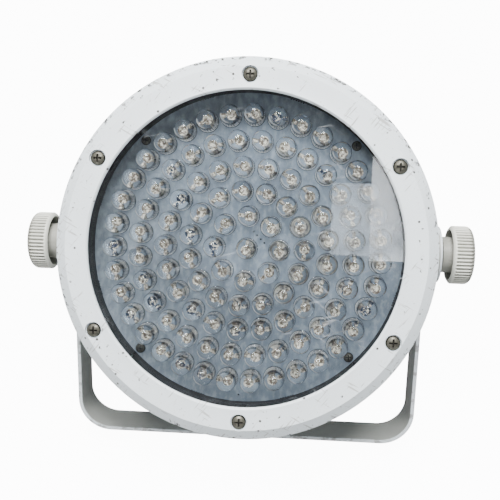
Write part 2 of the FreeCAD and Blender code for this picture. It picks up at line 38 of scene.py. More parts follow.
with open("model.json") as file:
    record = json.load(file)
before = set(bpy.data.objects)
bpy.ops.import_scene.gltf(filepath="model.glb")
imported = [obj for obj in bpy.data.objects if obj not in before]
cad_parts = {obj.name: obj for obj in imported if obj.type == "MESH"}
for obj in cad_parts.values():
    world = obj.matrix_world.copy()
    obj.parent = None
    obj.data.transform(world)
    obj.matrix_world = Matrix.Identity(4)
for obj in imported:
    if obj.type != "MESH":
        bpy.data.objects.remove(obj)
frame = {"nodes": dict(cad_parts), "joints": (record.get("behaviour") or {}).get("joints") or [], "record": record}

# The head is drawn in millimetres in its own axes: X to the right, Y from the front face to the back,
# Z up. HEAD takes that to the stand's metres. TURNED does so too, from the middle of the knob axis.
# AXLE starts there as well, but upright. YOKES holds the forward lean of each yoke, drawn legs down.
MM = 0.001
JOINTS = {joint["name"]: joint for joint in frame["joints"]}
MOUNTS = {mount["name"]: mount for mount in frame["record"]["mounts"]}
SLOTS = {part["node"]: part["material_slot"] for part in frame["record"]["subparts"]}
PRESS = Vector(JOINTS["output_latch_press"]["axis"])
PIVOT = Vector(JOINTS["inner_yoke_tilt"]["pos_m"])
TILT = math.atan2(PRESS.z, -PRESS.y)
SCALE = Matrix.Scale(MM, 4)
TURNED = Matrix.Translation(PIVOT) @ Matrix.Rotation(-TILT, 4, "X") @ SCALE
AXLE = Matrix.Translation(PIVOT) @ SCALE


def points_of(node, space):
    """Points of a CAD node, in millimetres along the axes of a space."""
    back = space.inverted()
    return [back @ vertex.co for vertex in frame["nodes"][node].data.vertices]


def corners(node, space):
    """Lowest and highest corner of a CAD node, in millimetres along the axes of a space."""
    points = points_of(node, space)
    low = Vector([min(point[axis] for point in points) for axis in range(3)])
    high = Vector([max(point[axis] for point in points) for axis in range(3)])
    return low, high


HEAD = TURNED @ Matrix.Translation((0, corners("front_bezel", TURNED)[0].y, 0))


def yoke_lean(mount):
    """Forward lean of a yoke, from the direction of its clamp hole."""
    axis = MOUNTS[mount]["axis"]
    return math.atan2(-axis[1], -axis[2])


YOKES = {
    "inner_yoke": yoke_lean("inner_clamp_hole"),
    "outer_yoke": yoke_lean("outer_clamp_hole"),
}

STRIP = 2.0  # thickness of the yokes' flat bar
BAR_BEND = 16.0  # radius of their bends, in the middle of the thickness
PLAIN_TOP = 0.75  # a screw head keeps its plain colour down to here; its cross recess and its sides lie deeper and get painted shade and dirt
FLOOR_GLOW = 12.0  # strength of the floor and the room where the camera sees them
JOIN = 2e-6  # corners of a CAD node's loose triangles this near in metres are one


def space_of_yoke(node):
    """A yoke's own millimetres, about the knob axis with its legs down."""
    return Matrix.Translation(PIVOT) @ Matrix.Rotation(-YOKES[node], 4, "X") @ SCALE


def bar_sizes(node):
    """Half span and reach of a yoke's middle surface, and half the width of its strip at the foot."""
    space = space_of_yoke(node)
    low, high = corners(node, space)
    half_width = max(point.y for point in points_of(node, space) if point.z < low.z + STRIP / 2)
    return high.x - STRIP / 2, -low.z - STRIP / 2, half_width


BEZEL_RADIUS = corners("front_bezel", HEAD)[1].x
BOARD_FRONT = corners("led_board", HEAD)[0].y
LED_FRONT = corners("led_centre", HEAD)[0].y
LED_FLANGE = corners("led_centre", HEAD)[1].x
WINDOW = corners("front_window", HEAD)
KNOB = corners("right_knob", AXLE)

# An LED's flange: how far it stands out, how thick it is and the chamfer on its front edge.
FLANGE_REACH = 0.4
FLANGE_DEPTH = 1.4
FLANGE_CUT = 0.2

# The camera stands before the front face, in the head's axes, and is turned a little from square.
CAMERA_PLACE = Vector((23.0, -337.0, 14.6))
CAMERA_YAW = math.radians(3.45)
CAMERA_PITCH = math.radians(-2.45)
CAMERA_ROLL = math.radians(1.94)
CAMERA_LENS = 52.6

# Soft lights: name, place, size, power, colour and the point looked at, in the head's axes.
WHITE = (1.0, 1.0, 1.0)
FACE = (0, 0, 0)
LIGHTS = (
    ("key", (60, -780, 800), (620, 380), 38.0, WHITE, FACE),
    ("tube_1", (-230, -620, 400), (300, 22), 1.5, WHITE, FACE),
    ("tube_2", (-230, -620, 455), (300, 22), 1.5, WHITE, FACE),
    ("tube_3", (-230, -620, 510), (300, 22), 1.5, WHITE, FACE),
    ("low_fill", (-330, -760, -560), (520, 200), 3.0, WHITE, FACE),
    ("side_window", (150, -600, 33), (62, 134), 0.26, (0.95, 0.98, 1.0), (150, 0, 33)),
    ("low_window", (94, -600, 18), (50, 92), 0.07, (0.92, 0.97, 1.0), (94, 0, 18)),
)


# ---------------------------------------------------------------- sizes and colours a user may change


class ParLightShapes(bpy.types.PropertyGroup):
    """Sizes of the added detail."""

    edge: FloatProperty(name="Casting edge", description="Round on the edges of cast and bent metal",
                        default=0.3 * MM, min=0.0, unit="LENGTH")
    fine_edge: FloatProperty(name="Fine edge", description="Round on the edges of sockets and panel",
                             default=0.2 * MM, min=0.0, unit="LENGTH")
    screw_edge: FloatProperty(name="Screw edge", description="Round on the edges of screw heads",
                              default=0.08 * MM, min=0.0, unit="LENGTH")
    ribs: IntProperty(name="Knob ribs", description="Number of ribs round each clamp knob",
                      default=50, min=8)
    rib_depth: FloatProperty(name="Rib depth", description="Depth of the grooves between the knob's ribs",
                             default=0.85 * MM, min=0.0, unit="LENGTH")
    seed: IntProperty(name="LED seed", description="Start of the small random turns of the LEDs",
                      default=4)


class ParLightColours(bpy.types.PropertyGroup):
    """Main colours."""

    paint: FloatVectorProperty(name="White paint", description="Powder coat on ring, housing and yokes",
                               subtype="COLOR", size=3, min=0, max=1, default=(0.735, 0.79, 0.815))
    knob: FloatVectorProperty(name="Knob plastic", description="Ivory plastic of the clamp knobs",
                              subtype="COLOR", size=3, min=0, max=1, default=(0.66, 0.66, 0.585))
    mask: FloatVectorProperty(name="Board mask", description="Bluish white mask of the LED board",
                              subtype="COLOR", size=3, min=0, max=1, default=(0.27, 0.32, 0.38))
    nickel: FloatVectorProperty(name="Dark nickel", description="Plating of the ring's screws",
                                subtype="COLOR", size=3, min=0, max=1, default=(0.13, 0.125, 0.10))


# ---------------------------------------------------------------- shader helpers


class Wire:
    """An output socket that can stand in sums."""

    def __init__(self, finish, socket):
        self.finish = finish
        self.socket = socket

    def math(self, operation, *others, flipped=False):
        """A Math node on this value and others, in their order or in reverse."""
        values = [self, *others]
        if flipped:
            values.reverse()
        return self.finish.node("ShaderNodeMath", {"operation": operation}, dict(enumerate(values)))

    def __add__(self, other):
        return self.math("ADD", other)

    __radd__ = __add__

    def __sub__(self, other):
        return self.math("SUBTRACT", other)

    def __rsub__(self, other):
        return self.math("SUBTRACT", other, flipped=True)

    def __mul__(self, other):
        return self.math("MULTIPLY", other)

    __rmul__ = __mul__

    def __pow__(self, other):
        return self.math("POWER", other)

    def size(self):
        """The value without its sign."""
        return self.math("ABSOLUTE")

    def rise(self, low, high):
        """0 below low, 1 above high and smooth between; low may be the larger one."""
        return self.finish.node("ShaderNodeMapRange", {"interpolation_type": "SMOOTHSTEP"},
                                {"Value": self, "From Min": low, "From Max": high})


class Finish:
    """A material under construction."""

    def __init__(self, name):
        self.material = bpy.data.materials.new(name)
        self.material.use_nodes = True
        self.tree = self.material.node_tree
        self.tree.nodes.clear()
        self.end = self.tree.nodes.new("ShaderNodeOutputMaterial")

    def node(self, kind, settings=None, inputs=None, out=0):
        """Adds a node of any kind: its settings first, then the values or links of its sockets."""
        made = self.tree.nodes.new(kind)
        for name, value in (settings or {}).items():
            setattr(made, name, value)
        for name, value in (inputs or {}).items():
            if isinstance(value, Wire):
                self.tree.links.new(value.socket, made.inputs[name])
            else:
                made.inputs[name].default_value = value
        return Wire(self, made.outputs[out])

    def space(self, location=(0, 0, 0), rotation=(0, 0, 0)):
        """Object coordinates in millimetres, turned and then moved."""
        where = self.node("ShaderNodeTexCoord", out="Object")
        return self.node("ShaderNodeMapping", {}, {"Vector": where, "Location": location,
                                                   "Rotation": rotation, "Scale": (1 / MM,) * 3})

    def head_space(self):
        """Millimetres in the head's own axes."""
        back = HEAD.inverted().to_translation()
        return self.space(back, (TILT, 0, 0))

    def axle_space(self, lean=0.0):
        """Millimetres about the knob axis, turned back by a lean."""
        turn = Matrix.Rotation(lean, 3, "X")
        return self.space(turn @ PIVOT * (-1 / MM), (lean, 0, 0))

    def split(self, vector):
        """The three parts of a vector."""
        return [self.node("ShaderNodeSeparateXYZ", {}, {0: vector}, out) for out in range(3)]

    def noise(self, vector, scale, detail=3.0, roughness=0.55):
        """Cloudy pattern from 0 to 1; a larger scale makes it finer."""
        return self.node("ShaderNodeTexNoise", {}, {"Vector": vector, "Scale": scale, "Detail": detail,
                                                    "Roughness": roughness})

    def stretched(self, vector, scale):
        """The same place with each axis scaled, for grain and scratches that run one way."""
        return self.node("ShaderNodeVectorMath", {"operation": "MULTIPLY"}, {0: vector, 1: scale})

    def mix(self, share, first, second):
        """Colour mix. The Mix node's colours are its sockets 6 and 7, and its result is output 2."""
        first, second = [tone if isinstance(tone, Wire) else (*tone, 1.0) for tone in (first, second)]
        return self.node("ShaderNodeMix", {"data_type": "RGBA"}, {0: share, 6: first, 7: second}, 2)

    def principled(self, colour, roughness, bump=None, depth=0.02, **constants):
        """A Principled surface. Bump heights are 0 to 1 of `depth` millimetres."""
        inputs = {"Base Color": colour if isinstance(colour, Wire) else (*colour, 1.0),
                  "Roughness": roughness}
        for name, value in constants.items():
            inputs[name.replace("_", " ").title().replace("Ior", "IOR")] = value
        if bump is not None:
            inputs["Normal"] = self.node("ShaderNodeBump", {}, {"Strength": 1.0, "Distance": depth * MM,
                                                                "Height": bump})
        return self.node("ShaderNodeBsdfPrincipled", {}, inputs)

    def done(self, shader):
        """Puts the shader on the surface and hands over the material."""
        self.tree.links.new(shader.socket, self.end.inputs["Surface"])
        return self.material


def shade(colour, factor):
    """A colour made darker, or lighter up to white."""
    return tuple(min(1.0, part * factor) for part in colour)


# ---------------------------------------------------------------- finishes


def scratch_mask(finish, where, scale, limit, turn):
    """Thin lines along one direction, broken up by a second, larger noise."""
    leaning = finish.node("ShaderNodeMapping", {}, {"Vector": where, "Rotation": turn})
    lines = finish.noise(finish.stretched(leaning, scale), 1.0, 2.0, 0.5)
    broken = finish.noise(where, 0.09, 1.0).rise(0.50, 0.62)
    return lines.rise(limit, limit + 0.03) * broken


def cast_paint(name, colour):
    """White powder coat on a casting: orange peel, stains, scratches and chips, most at the rim."""
    finish = Finish(name)
    where = finish.head_space()
    x, y, z = finish.split(where)
    radius = (x * x + z * z) ** 0.5
    stain = finish.noise(where, 0.035, 4.0, 0.6).rise(0.42, 0.75)
    speck = finish.noise(where, 0.75, 2.0).rise(0.69, 0.72)
    tone = finish.mix(stain * 0.35, colour, shade(colour, 0.86))
    tone = finish.mix(speck * 0.5, tone, (0.42, 0.41, 0.38))
    peel = finish.noise(where, 1.1, 2.0)
    rim = radius.rise(BEZEL_RADIUS - 3.0, BEZEL_RADIUS - 0.6) * y.rise(9.5, 5.0)
    top = z.rise(0.0, 75.0)
    chips = finish.noise(where, 0.42, 3.0, 0.65)
    on_rim = (chips + 0.06 * top).rise(0.61, 0.63) * rim
    few = finish.noise(where, 0.34, 3.5, 0.7).rise(0.675, 0.685)
    dot = finish.node("ShaderNodeTexVoronoi", {}, {"Vector": where, "Scale": 0.20}).rise(0.135, 0.105)
    dots = dot * finish.noise(where, 0.06, 2.0).rise(0.49, 0.52)
    worn = (on_rim + (few + dots)).math("MINIMUM", 1.0)
    one = scratch_mask(finish, where, (0.07, 0.07, 1.1), 0.61, (0, 0.9, 0))
    two = scratch_mask(finish, where, (0.06, 0.06, 0.9), 0.62, (0, -0.5, 0))
    tone = finish.mix((one + two).math("MINIMUM", 1.0) * 0.7, tone, (0.30, 0.29, 0.27))
    tone = finish.mix(worn, tone, (0.055, 0.052, 0.048))
    rough = 0.36 + 0.10 * stain + 0.2 * worn
    return finish.done(finish.principled(tone, rough, peel - worn * 1.5, 0.035, specular_ior_level=0.45))


def bar_paint(name, colour, node):
    """Powder coat on a bent bar: painted shade on the inner face, rubbed through in places at both edges."""
    side, foot, half_width = bar_sizes(node)
    finish = Finish(name)
    where = finish.axle_space(YOKES[node])
    x, y, z = finish.split(where)
    across = y.size()
    beside = (x.size() - (side - BAR_BEND)).math("MAXIMUM", 0.0)
    below = (-1.0 * z - (foot - BAR_BEND)).math("MAXIMUM", 0.0)
    inside = ((beside * beside + below * below) ** 0.5).rise(BAR_BEND + 0.1, BAR_BEND - 0.1)
    # Painted shade: the inner face of the bends and legs is darkened towards warm grey.
    inner_shade = inside * across.rise(half_width, half_width - 0.4)
    patch = finish.noise(where, 0.22, 4.0, 0.7)
    edge = across.rise(half_width - 1.0, half_width) * patch.rise(0.52, 0.60)
    stain = finish.noise(where, 0.05, 4.0, 0.6).rise(0.4, 0.75)
    # Painted shade: the whole bar paint is a darker copy of the ring's white.
    colour = shade(colour, 0.85)
    tone = finish.mix(stain * 0.4, colour, shade(colour, 0.82))
    tone = finish.mix(inner_shade * (0.85 + 0.15 * patch), tone, (0.30, 0.305, 0.28))
    rub = scratch_mask(finish, where, (0.10, 1.9, 0.10), 0.68, (0.35, 0, 0))
    tone = finish.mix(rub * 0.4, tone, (0.45, 0.44, 0.42))
    spot = finish.noise(where, 0.35, 3.0, 0.7).rise(0.72, 0.735)
    tone = finish.mix((edge * 0.7 + spot).math("MINIMUM", 1.0), tone, (0.20, 0.19, 0.18))
    peel = finish.noise(where, 1.2, 2.0)
    return finish.done(finish.principled(tone, 0.40 + 0.12 * stain, peel - edge, 0.03))


def knob_plastic(name, colour):
    """Ivory moulded plastic with painted shade and dirt in the grooves, and painted shade on the hub and down in
    the cavity round it.
    """
    finish = Finish(name)
    where = finish.axle_space()
    x, y, z = finish.split(where)
    radius = (y * y + z * z) ** 0.5
    start, end = KNOB[0].x, KNOB[1].x
    top = KNOB[1].z
    cloud = finish.noise(where, 0.12, 3.0)
    along = x.size()
    outer = along.rise(start + 5.0, start + 5.6)
    groove = radius.rise(top - 0.10, top - 0.60) * radius.rise(top - 1.9, top - 1.4)
    # Painted shade with some dirt: the grooves between the ribs are darkened nearly to black.
    dirt = groove * outer * (0.5 + 0.5 * finish.noise(where, 0.5, 3.0))
    hollow = along.rise(end - 2.5, end - 3.0)
    hub = radius.rise(10.4, 9.6) * hollow
    between = radius.rise(12.6, 12.0) * radius.rise(8.9, 9.2)
    cavity_shade = between * along.rise(start + 3.0, start + 5.0) * hollow
    nick = finish.noise(where, 0.55, 3.0, 0.7).rise(0.70, 0.72) * outer
    tone = finish.mix(cloud.rise(0.4, 0.7) * 0.5, colour, shade(colour, 0.86))
    # Painted shade: the hub, deep in the cavity, is made darker.
    tone = finish.mix(hub * 0.9, tone, shade(colour, 0.34))
    tone = finish.mix(dirt * 0.95, tone, (0.06, 0.056, 0.042))
    # Painted shade: the cavity round the hub is darkened nearly to black.
    tone = finish.mix(cavity_shade * 0.85, tone, (0.05, 0.055, 0.05))
    tone = finish.mix(nick, tone, (0.05, 0.045, 0.04))
    rubbed = finish.noise(where, 0.8, 3.0).rise(0.62, 0.7)
    grain = finish.noise(where, 3.0, 2.0)
    return finish.done(finish.principled(tone, 0.42 + 0.1 * rubbed, grain, 0.012, specular_ior_level=0.4))


def screw_nickel(name, colour, fronts):
    """Dark nickel on pan heads: dull in patches, with painted shade and dirt down in the cross recess and round
    the head.
    """
    finish = Finish(name)
    where = finish.head_space()
    depth = finish.split(where)[1]
    lay = finish.noise(where, 2.6, 3.0)
    dull = finish.noise(where, 0.7, 4.0, 0.65).rise(0.40, 0.65)
    tone = finish.mix(dull, colour, shade(colour, 0.55))
    for front in fronts:
        recess = front + PLAIN_TOP
        # Painted shade and dirt: the cross recess and the sides of the head are darkened nearly to black.
        recess_shade_and_dirt = depth.rise(recess, recess + 0.25) * depth.rise(front + 4.0, front + 3.9)
        tone = finish.mix(recess_shade_and_dirt * 0.93, tone, (0.012, 0.011, 0.009))
    return finish.done(finish.principled(tone, 0.42 + 0.18 * dull, lay, 0.012, metallic=0.75))


def plated(name, colour, roughness, tarnish, brushed=(1, 1, 1)):
    """Plated or bare metal with a fine lay and dull patches."""
    finish = Finish(name)
    where = finish.space()
    lay = finish.noise(finish.stretched(where, brushed), 2.2, 3.0)
    dull = finish.noise(where, 0.45, 4.0, 0.65).rise(0.40, 0.68)
    tone = finish.mix(dull, colour, tarnish)
    return finish.done(finish.principled(tone, roughness + 0.18 * dull + 0.06 * lay, lay, 0.008,
                                         metallic=0.9))


def moulded(name, colour, roughness, grain=2.4, depth=0.015, dust=0.0):
    """Moulded plastic: fine texture, cloudy tone and, if asked, light dust and scuffs."""
    finish = Finish(name)
    where = finish.space()
    cloud = finish.noise(where, 0.10, 4.0, 0.6)
    fine = finish.noise(where, grain, 3.0)
    scuff = scratch_mask(finish, where, (0.2, 2.2, 0.2), 0.66, (0.4, 0.3, 0.2))
    tone = finish.mix(cloud.rise(0.35, 0.7), colour, shade(colour, 1.25))
    dusty = (cloud.rise(0.52, 0.72) * fine.rise(0.45, 0.65) + scuff).math("MINIMUM", 1.0)
    tone = finish.mix(dusty * dust, tone, (0.32, 0.33, 0.32))
    return finish.done(finish.principled(tone, roughness + 0.12 * fine - 0.05 * scuff, fine, depth))


def rubber(name):
    """Black rubber with a grey bloom."""
    finish = Finish(name)
    where = finish.space()
    fine = finish.noise(where, 3.5, 4.0, 0.7)
    bloom = finish.noise(where, 0.25, 3.0).rise(0.45, 0.75)
    tone = finish.mix(bloom * 0.5, (0.022, 0.022, 0.023), (0.06, 0.06, 0.058))
    return finish.done(finish.principled(tone, 0.72 + 0.1 * fine, fine, 0.02))


def board_mask(name, colour):
    """Bluish white solder mask over copper: pour outlines, haze, painted streaks of light and shadow, a painted
    lighter left side and specks.
    """
    finish = Finish(name)
    where = finish.head_space()
    x = finish.split(where)[0]
    haze = finish.noise(where, 0.028, 4.0, 0.6)
    pour = finish.node("ShaderNodeTexVoronoi", {"feature": "DISTANCE_TO_EDGE"},
                       {"Vector": where, "Scale": 0.085}).rise(0.0, 0.05)
    speck = finish.noise(where, 1.6, 2.0).rise(0.70, 0.73)
    left = x.rise(10.0, -75.0)
    light_and_shadow_streak = finish.noise(finish.stretched(where, (0.4, 0.4, 0.22)), 1.0, 2.0)
    tone = finish.mix(haze.rise(0.35, 0.7), colour, shade(colour, 0.74))
    # Painted light: the board is lighter and greyer towards the left.
    tone = finish.mix(left * 0.4, tone, (0.34, 0.37, 0.39))
    # Painted light and shadow: light and dark streaks across the board.
    tone = finish.mix(light_and_shadow_streak.rise(0.48, 0.66) * 0.35, tone, (0.50, 0.56, 0.60))
    tone = finish.mix(light_and_shadow_streak.rise(0.47, 0.32) * 0.35, tone, (0.13, 0.15, 0.18))
    tone = finish.mix((1 - pour) * 0.22, tone, shade(colour, 0.70))
    tone = finish.mix(speck * 0.5, tone, (0.20, 0.20, 0.18))
    return finish.done(finish.principled(tone, 0.34 + 0.12 * haze, pour, 0.02, coat_weight=0.15))


def green_mask(name):
    """Green solder mask with traces standing a little proud."""
    finish = Finish(name)
    where = finish.head_space()
    traces = finish.node("ShaderNodeTexBrick", {"offset": 0.37, "squash": 2.0},
                         {"Vector": where, "Scale": 0.35, "Mortar Size": 0.03}, "Fac")
    haze = finish.noise(where, 0.1, 3.0)
    tone = finish.mix(traces * 0.6, (0.012, 0.115, 0.05), (0.03, 0.19, 0.085))
    tone = finish.mix(haze.rise(0.5, 0.8) * 0.3, tone, (0.01, 0.07, 0.04))
    return finish.done(finish.principled(tone, 0.30 + 0.1 * haze, traces, 0.03))


def let_lamps_through(finish, shader, tint):
    """Light from lamps passes a clear piece, as it does through thin real glass."""
    shadow = finish.node("ShaderNodeLightPath", out="Is Shadow Ray")
    clear = finish.node("ShaderNodeBsdfTransparent", {}, {"Color": (*tint, 1.0)})
    return finish.node("ShaderNodeMixShader", {}, {0: shadow, 1: shader, 2: clear})


def window_glass(name):
    """Flat window: clear with its surface reflection, hairline scratches and a haze of dust."""
    finish = Finish(name)
    where = finish.head_space()
    x = finish.split(where)[0]
    gloss = finish.node("ShaderNodeFresnel", {}, {"IOR": 1.50})
    one = scratch_mask(finish, where, (0.05, 0.05, 2.2), 0.66, (0, 0.25, 0))
    two = scratch_mask(finish, where, (0.06, 0.06, 1.9), 0.68, (0, -0.7, 0))
    right = x.rise(10.0, 60.0)
    dust = finish.noise(where, 2.2, 3.0, 0.7).rise(0.66, 0.72)
    film = finish.noise(where, 0.03, 3.0).rise(0.3, 0.75)
    marks = ((one + two) * (0.15 + 0.5 * right) + dust * 0.08 + film * 0.004).math("MINIMUM", 0.6)
    clear = finish.node("ShaderNodeBsdfTransparent", {}, {"Color": (0.95, 0.965, 0.975, 1.0)})
    mirror = finish.node("ShaderNodeBsdfGlossy", {}, {"Color": (1, 1, 1, 1), "Roughness": 0.015})
    bloom = finish.noise(where, 0.075, 4.0, 0.6).rise(0.36, 0.60)
    shine = gloss * (0.35 + 0.55 * bloom)
    glass = finish.node("ShaderNodeMixShader", {}, {0: shine, 1: clear, 2: mirror})
    dirt = finish.node("ShaderNodeBsdfDiffuse", {}, {"Color": (0.72, 0.75, 0.78, 1.0)})
    return finish.done(finish.node("ShaderNodeMixShader", {}, {0: marks, 1: glass, 2: dirt}))


def clear_epoxy(name, tint):
    """Water-clear moulded epoxy."""
    finish = Finish(name)
    ripple = finish.noise(finish.space(), 0.5, 2.0)
    solid = finish.principled(tint, 0.02, ripple, 0.01, ior=1.5, transmission_weight=1.0)
    return finish.done(let_lamps_through(finish, solid, shade(tint, 0.72)))


def led_epoxy(name, tint):
    """Clear LED body. Its own map puts each LED's middle at (0.5, 0.5) and its flange at radius 0.5."""
    finish = Finish(name)
    u, v = finish.split(finish.node("ShaderNodeUVMap", {"uv_map": "led"}))[:2]
    across = u * 2 - 1
    up = v * 2 - 1
    radius = (across * across + up * up) ** 0.5
    low_left = (across + up) * -0.7
    # Painted shade: dark rings at the dome's base and the flange's edge, and a dark crescent on the upper right of
    # each LED.
    base_line = radius.rise(0.79, 0.85) * radius.rise(0.93, 0.91)
    edge_line = radius.rise(0.945, 0.965)
    dark = radius.rise(0.60, 0.80) * radius.rise(0.90, 0.86) * low_left.rise(-0.25, -0.7)
    lines = (base_line * 0.85 + edge_line + dark * 0.6).math("MINIMUM", 1.0)
    tone = finish.mix(lines * 0.97, tint, (0.02, 0.03, 0.045))
    ripple = finish.noise(finish.space(), 0.5, 2.0)
    solid = finish.principled(tone, 0.02, ripple, 0.01, ior=1.5, transmission_weight=1.0)
    # Painted light: a white diffuse ring on the flange, brighter on the lower left, and a bright crescent inside
    # the lower left stand for refracted light.
    flange = radius.rise(0.915, 0.93) * radius.rise(0.96, 0.945) * (0.25 + 0.6 * low_left.rise(-0.5, 0.7))
    crescent = radius.rise(0.66, 0.75) * radius.rise(0.86, 0.82) * low_left.rise(0.40, 0.72)
    painted_caustic = finish.node("ShaderNodeBsdfDiffuse", {}, {"Color": (0.86, 0.88, 0.88, 1.0)})
    share = (flange + crescent * 0.7).math("MINIMUM", 0.8)
    solid = finish.node("ShaderNodeMixShader", {}, {0: share, 1: solid, 2: painted_caustic})
    return finish.done(let_lamps_through(finish, solid, shade(tint, 0.66)))


def smoked_acrylic(name):
    """Dark red window of the display, half clear, with a film of grease."""
    finish = Finish(name)
    where = finish.space()
    film = finish.noise(where, 0.2, 3.0)
    tone = finish.mix(film.rise(0.5, 0.8), (0.16, 0.012, 0.012), (0.10, 0.01, 0.012))
    solid = finish.principled(tone, 0.06 + 0.06 * film)
    clear = finish.node("ShaderNodeBsdfTransparent", {}, {"Color": (0.45, 0.06, 0.06, 1.0)})
    return finish.done(finish.node("ShaderNodeMixShader", {}, {0: 0.45, 1: clear, 2: solid}))


def lead_frame(name):
    """Tinned lead frame with warm tarnish; now and then the chip shows a dark blue patch."""
    finish = Finish(name)
    where = finish.head_space()
    rough_cast = finish.noise(where, 1.3, 3.0, 0.65)
    which = finish.noise(where, 0.055, 1.0)
    tone = finish.mix(rough_cast.rise(0.40, 0.56), (0.88, 0.81, 0.67), (0.15, 0.115, 0.08))
    tone = finish.mix(which.rise(0.60, 0.64) * rough_cast.rise(0.42, 0.50), tone, (0.018, 0.028, 0.055))
    return finish.done(finish.principled(tone, 0.30 + 0.2 * rough_cast, rough_cast, 0.15, metallic=0.25))


def textured_panel(name):
    """Black powder coat with a coarse sand texture."""
    finish = Finish(name)
    where = finish.head_space()
    sand = finish.noise(where, 2.6, 4.0, 0.7)
    rubbed = finish.noise(where, 0.12, 4.0, 0.65).rise(0.55, 0.75)
    scuff = scratch_mask(finish, where, (0.1, 0.1, 2.0), 0.70, (0, 0.5, 0))
    tone = finish.mix(rubbed, (0.018, 0.018, 0.020), (0.042, 0.042, 0.045))
    tone = finish.mix(scuff * 0.5, tone, (0.16, 0.16, 0.165))
    return finish.done(finish.principled(tone, 0.52 + 0.15 * sand - 0.1 * rubbed, sand, 0.10))


def studio_floor(name):
    """Pale matt floor; where the camera sees it, it glows like a sweep lit from behind."""
    finish = Finish(name)
    cloud = finish.noise(finish.space(), 0.002, 2.0)
    tone = finish.mix(cloud.rise(0.3, 0.7), (0.30, 0.30, 0.30), (0.27, 0.275, 0.28))
    glow = finish.mix(cloud.rise(0.3, 0.7), (1.0, 1.0, 1.0), (0.98, 0.985, 0.99))
    rough = 0.75 + 0.1 * cloud
    dim = finish.principled(tone, rough)
    lit = finish.principled(tone, rough, emission_color=glow, emission_strength=FLOOR_GLOW)
    seen = finish.node("ShaderNodeLightPath", out="Is Camera Ray")
    return finish.done(finish.node("ShaderNodeMixShader", {}, {0: seen, 1: dim, 2: lit}))


def make_finishes(colours):
    """Every material, by its slot in the record or by the one kind of piece that wears it."""
    paint = tuple(colours.paint)
    screw_fronts = [corners(node, HEAD)[0].y for node in ("bezel_screws", "board_screws")]
    return {
        "white_casting": cast_paint("cast_paint", paint),
        "inner_bar": bar_paint("inner_bar_paint", paint, "inner_yoke"),
        "outer_bar": bar_paint("outer_bar_paint", paint, "outer_yoke"),
        "knob_plastic": knob_plastic("knob_plastic", tuple(colours.knob)),
        "dark_screws": screw_nickel("dark_nickel", tuple(colours.nickel), screw_fronts),
        "bright_steel": plated("zinc_plate", (0.60, 0.60, 0.58), 0.30, (0.42, 0.41, 0.38), (1, 6, 1)),
        "clear_window": window_glass("window_glass"),
        "black_rubber": rubber("black_rubber"),
        "black_plastic": moulded("black_plastic", (0.020, 0.020, 0.022), 0.42, dust=0.25),
        "board_mask": board_mask("board_mask", tuple(colours.mask)),
        "led_epoxy": led_epoxy("led_epoxy", (0.97, 0.985, 1.0)),
        "surround": moulded("surround_plastic", (0.007, 0.007, 0.008), 0.62, dust=0.06),
        "lead_frame": lead_frame("lead_frame"),
        "green_board": green_mask("green_mask"),
        "panel_paint": textured_panel("panel_paint"),
        "contact_metal": plated("gold_plate", (0.83, 0.62, 0.28), 0.25, (0.60, 0.43, 0.18)),
        "blade_metal": plated("nickel_plate", (0.66, 0.64, 0.59), 0.28, (0.45, 0.42, 0.36)),
        "insert_brass": plated("turned_brass", (0.72, 0.52, 0.22), 0.28, (0.48, 0.33, 0.13), (8, 1, 1)),
        "nylon": moulded("nylon", (0.66, 0.64, 0.57), 0.45),
        "ferrite": moulded("ferrite", (0.06, 0.06, 0.065), 0.55, grain=1.2, depth=0.05),
        "capacitor_film": moulded("capacitor_case", (0.50, 0.26, 0.03), 0.30),
        "capacitor_can": moulded("capacitor_sleeve", (0.02, 0.03, 0.07), 0.28),
        "heat_sink_metal": plated("extruded_aluminium", (0.62, 0.63, 0.64), 0.35, (0.45, 0.45, 0.46),
                                  (1, 5, 1)),
        "smoked_acrylic": smoked_acrylic("smoked_acrylic"),
        "fuse_glass": clear_epoxy("fuse_glass", (0.95, 0.97, 0.97)),
        "ribbon_sleeve": moulded("ribbon_sleeve", (0.36, 0.37, 0.39), 0.38, grain=1.0),
        "segments": moulded("display_segments", (0.50, 0.46, 0.42), 0.40),
    }


FINISHES = {}


def finish_for(key):
    """One of the materials, which are all made when the first piece asks."""
    if not FINISHES:
        FINISHES.update(make_finishes(bpy.context.scene.par_light_colours))
    return FINISHES[key]


# ---------------------------------------------------------------- mesh helpers


def lathe(mesh, outline, steps, axis="Y"):
    """Spins an outline of (radius, distance along the axis) about the X or Y axis."""
    def place(radius, along):
        """A point of the outline, ready to be spun."""
        return Vector((radius, along, 0)) if axis == "Y" else Vector((along, radius, 0))

    points = [mesh.verts.new(place(*pair)) for pair in outline]
    lines = [mesh.edges.new(pair) for pair in zip(points, points[1:])]
    bmesh.ops.spin(mesh, geom=points + lines, cent=(0, 0, 0), dvec=(0, 0, 0), steps=steps,
                   axis=(0, 1, 0) if axis == "Y" else (1, 0, 0), angle=2 * math.pi,
                   use_merge=True, use_duplicate=False)
    bmesh.ops.remove_doubles(mesh, verts=mesh.verts, dist=1e-4)


def round_edges(mesh, width, degrees=32):
    """Bevels every edge sharper than the given angle."""
    crisp = [edge for edge in mesh.edges
             if len(edge.link_faces) == 2 and edge.calc_face_angle(0.0) > math.radians(degrees)]
    bmesh.ops.bevel(mesh, geom=crisp, offset=width, offset_type="OFFSET", affect="EDGES", segments=2,
                    profile=0.5, material=-1, clamp_overlap=True)


